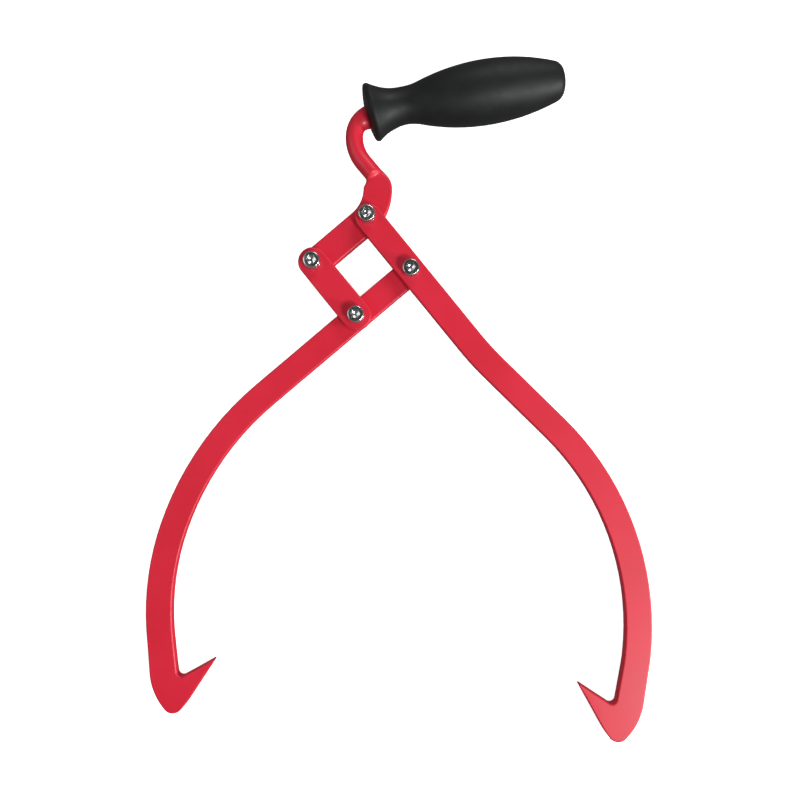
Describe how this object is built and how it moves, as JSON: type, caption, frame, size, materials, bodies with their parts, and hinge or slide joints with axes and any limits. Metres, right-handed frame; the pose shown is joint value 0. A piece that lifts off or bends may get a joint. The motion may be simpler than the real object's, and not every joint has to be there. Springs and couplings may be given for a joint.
{
  "type": "log tongs",
  "caption": "Red painted hand log tongs: hooked flat-steel arms on a pivoted parallelogram, forged rod shank and offset black plastic grip.",
  "frame": {"origin": "middle of the bounding box in plan, on the floor plane that the grip touches with the tongs on their back", "axes": "+Y from the hooks to the grip, +Z out of the front layer along the pivots, +X towards the grip's butt"},
  "size_m": [0.307, 0.4148, 0.0375],
  "materials": {
    "red_paint": "satin",
    "black_plastic": "satin",
    "zinc_steel": "bright zinc",
    "nylon": "satin"
  },
  "bodies": {
    "shank_assembly": {"handle_shank": "red_paint", "grip": "black_plastic", "pivot_screw_top": "zinc_steel", "washer_top": "zinc_steel", "lock_nut_top": "zinc_steel", "nylon_ring_top": "nylon", "pivot_screw_left": "zinc_steel", "washer_left": "zinc_steel", "lock_nut_left": "zinc_steel", "nylon_ring_left": "nylon"},
    "right_arm_assembly": {"right_arm": "red_paint", "pivot_screw_right": "zinc_steel", "washer_right": "zinc_steel", "lock_nut_right": "zinc_steel", "nylon_ring_right": "nylon"},
    "left_arm_body": {"left_arm": "red_paint"},
    "link_assembly": {"link": "red_paint", "pivot_screw_bottom": "zinc_steel", "washer_bottom": "zinc_steel", "lock_nut_bottom": "zinc_steel", "nylon_ring_bottom": "nylon"}
  },
  "joints": [
    {"name": "right_arm_pivot", "type": "hinge", "parent": "shank_assembly", "child": "right_arm_assembly", "pos_m": [-0.01798, 0.10943, 0.0219], "axis": [0, 0, 1], "range_deg": [-60, 60]},
    {"name": "left_arm_pivot", "type": "hinge", "parent": "right_arm_assembly", "child": "left_arm_body", "pos_m": [0.00825, 0.07727, 0.0219], "axis": [0, 0, 1], "range_deg": [-60, 60]},
    {"name": "link_pivot", "type": "hinge", "parent": "shank_assembly", "child": "link_assembly", "pos_m": [-0.05082, 0.08168, 0.0219], "axis": [0, 0, 1], "range_deg": [-60, 60]}
  ],
  "couplings": [
    {"joint": "left_arm_pivot", "follows": "right_arm_pivot", "ratio": -1},
    {"joint": "link_pivot", "follows": "right_arm_pivot", "ratio": 1}
  ]
}
